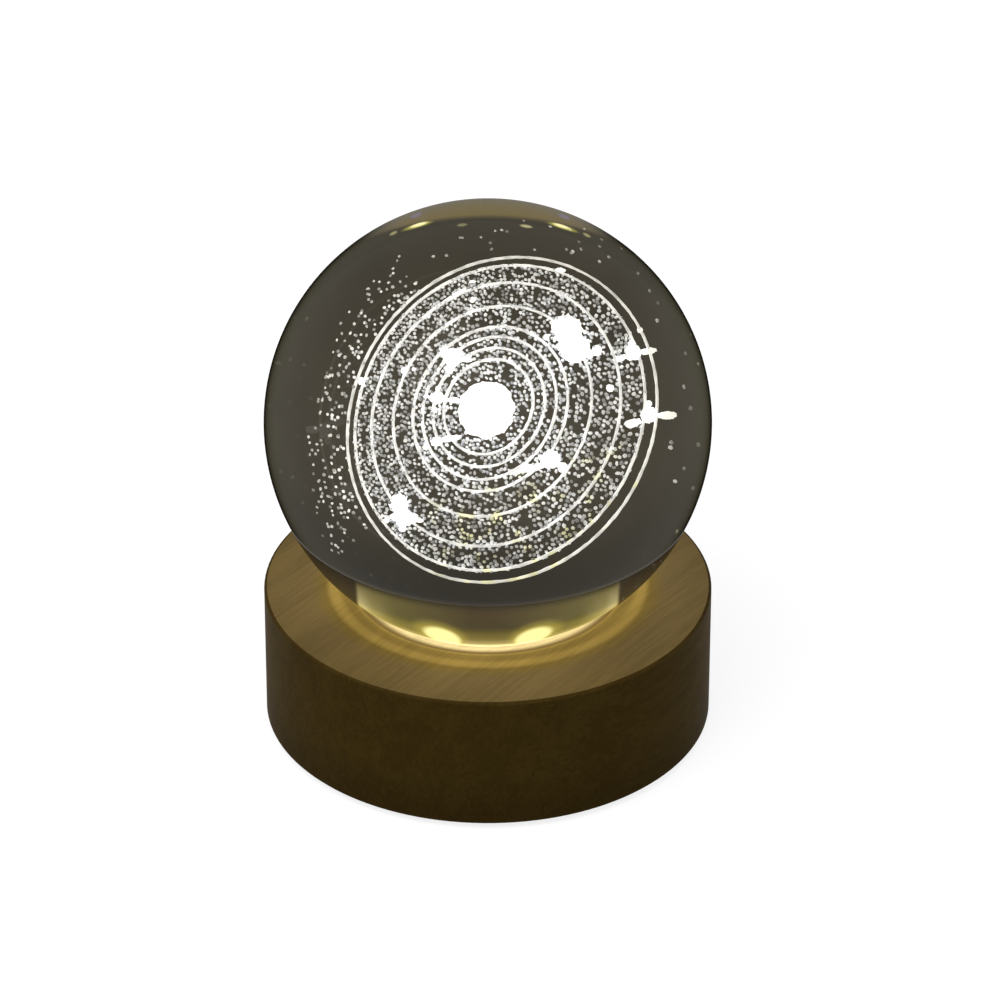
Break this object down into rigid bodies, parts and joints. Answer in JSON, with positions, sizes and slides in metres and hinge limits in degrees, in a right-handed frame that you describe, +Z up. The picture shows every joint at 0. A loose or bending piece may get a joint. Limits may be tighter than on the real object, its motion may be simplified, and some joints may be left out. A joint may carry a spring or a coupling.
{
  "type": "crystal ball lamp",
  "caption": "Clear glass ball with a laser-engraved solar system inside, resting in a round wooden base that lights it from below.",
  "frame": {"origin": "centre of the base in the plane of the feet's undersides", "axes": "+Z up through the ball, front towards -Y, power inlet and button in the rear wall towards +Y"},
  "size_m": [0.0812, 0.0812, 0.1],
  "materials": {
    "crystal": "polished clear crystal glass",
    "engraving": "laser-fractured glass, frosted white and lit from below",
    "dark_wood": "turned dark brown wood, fine grain, satin",
    "clear_acrylic": "clear polished acrylic",
    "white_board": "white solder mask",
    "led_housing": "cream white moulded housing",
    "phosphor": "warm white light-emitting phosphor gel",
    "screw_steel": "zinc-plated steel",
    "green_board": "green solder mask",
    "chip_black": "black moulded epoxy",
    "resistor_dark": "dark glazed ceramic",
    "capacitor_can": "plain aluminium can",
    "usb_steel": "nickel-plated steel",
    "switch_plastic": "black moulded plastic",
    "plunger_plastic": "white moulded plastic",
    "button_plastic": "black satin plastic",
    "red_sheath": "red wire sheath",
    "black_sheath": "black wire sheath",
    "cover_plastic": "black textured plastic",
    "foot_rubber": "soft black rubber"
  },
  "bodies": {
    "base": {"wooden_base": "dark_wood", "clear_window": "clear_acrylic", "led_board": "white_board", "led_packages": "led_housing", "led_phosphors": "phosphor", "led_board_screws": "screw_steel", "control_board": "green_board", "control_board_screws": "screw_steel", "driver_chip": "chip_black", "current_resistors": "resistor_dark", "storage_capacitor": "capacitor_can", "usb_shell": "usb_steel", "usb_tongue": "chip_black", "switch_body": "switch_plastic", "red_wire": "red_sheath", "black_wire": "black_sheath", "bottom_cover": "cover_plastic", "cover_screws": "screw_steel", "rubber_feet": "foot_rubber"},
    "ball": {"crystal_ball": "crystal", "engraved_sun": "engraving", "engraved_orbits": "engraving", "engraved_planets": "engraving", "engraved_streaks": "engraving"},
    "button": {"button_cap": "button_plastic", "switch_plunger": "plunger_plastic"}
  },
  "joints": [
    {"name": "ball_lift", "type": "slide", "parent": "base", "child": "ball", "axis": [0, 0, 1], "range_m": [0, 0.05]},
    {"name": "power_button", "type": "slide", "parent": "base", "child": "button", "axis": [0, -1, 0], "range_m": [0, 0.0015], "stiffness_N_per_m": 600, "springref_m": -0.0005}
  ]
}
